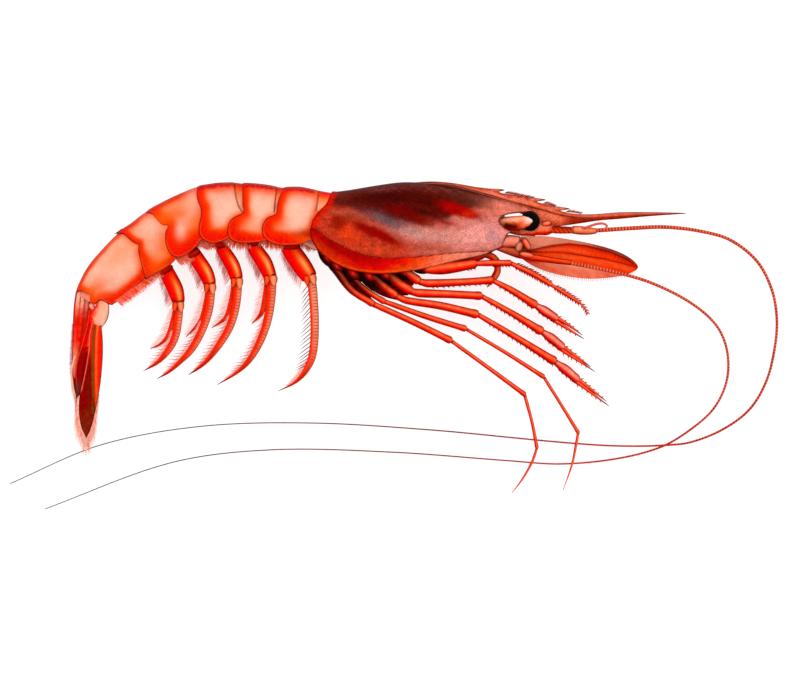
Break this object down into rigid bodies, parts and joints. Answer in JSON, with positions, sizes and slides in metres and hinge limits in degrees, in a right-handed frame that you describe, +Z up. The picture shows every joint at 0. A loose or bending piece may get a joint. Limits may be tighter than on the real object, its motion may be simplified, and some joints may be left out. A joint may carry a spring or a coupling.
{
  "type": "raw shrimp",
  "caption": "Whole raw deep-water shrimp lying on its side: long toothed snout spine, curved segmented tail with fan, thin legs, bristly swimming legs and long trailing feelers.",
  "frame": {"origin": "on the surface the shrimp lies on, at the flat under the middle of the head shell", "axes": "+X towards the head, +Y towards the animal's back, +Z up through its right side"},
  "size_m": [0.246, 0.105, 0.0242],
  "materials": {
    "head_shell": "moist satin shell, maroon with red patches",
    "tail_shell": "moist satin shell, salmon with red edges",
    "limb_shell": "moist satin shell, red",
    "whip": "satin, ringed red",
    "tail_blade": "satin, red with dark middle",
    "eye": "glossy black"
  },
  "bodies": {
    "root": {"carapace": "head_shell", "abdomen_1": "tail_shell", "abdomen_2": "tail_shell", "abdomen_3": "tail_shell", "abdomen_4": "tail_shell", "abdomen_5": "tail_shell", "abdomen_6": "tail_shell", "telson": "tail_shell", "uropod_base_right": "limb_shell", "uropod_endopod_right": "tail_blade", "uropod_exopod_right": "tail_blade", "eyestalk_right": "tail_shell", "eye_right": "eye", "antennule_right": "tail_shell", "antennule_whip_right": "whip", "antenna_base_right": "limb_shell", "antenna_scale_right": "tail_shell", "antenna_whip_right": "whip", "maxilliped_2_right": "limb_shell", "maxilliped_3_right": "limb_shell", "leg_1_right": "limb_shell", "leg_2_right": "limb_shell", "leg_3_right": "limb_shell", "leg_4_right": "limb_shell", "leg_5_right": "limb_shell", "pleopod_1_right": "limb_shell", "pleopod_2_right": "limb_shell", "pleopod_3_right": "limb_shell", "pleopod_4_right": "limb_shell", "pleopod_5_right": "limb_shell", "uropod_base_left": "limb_shell", "uropod_endopod_left": "tail_blade", "uropod_exopod_left": "tail_blade", "eyestalk_left": "tail_shell", "eye_left": "eye", "antennule_left": "tail_shell", "antennule_whip_left": "whip", "antenna_base_left": "limb_shell", "antenna_scale_left": "tail_shell", "antenna_whip_left": "whip", "maxilliped_2_left": "limb_shell", "maxilliped_3_left": "limb_shell", "leg_1_left": "limb_shell", "leg_2_left": "limb_shell", "leg_3_left": "limb_shell", "leg_4_left": "limb_shell", "leg_5_left": "limb_shell", "pleopod_1_left": "limb_shell", "pleopod_2_left": "limb_shell", "pleopod_3_left": "limb_shell", "pleopod_4_left": "limb_shell", "pleopod_5_left": "limb_shell"}
  },
  "joints": []
}
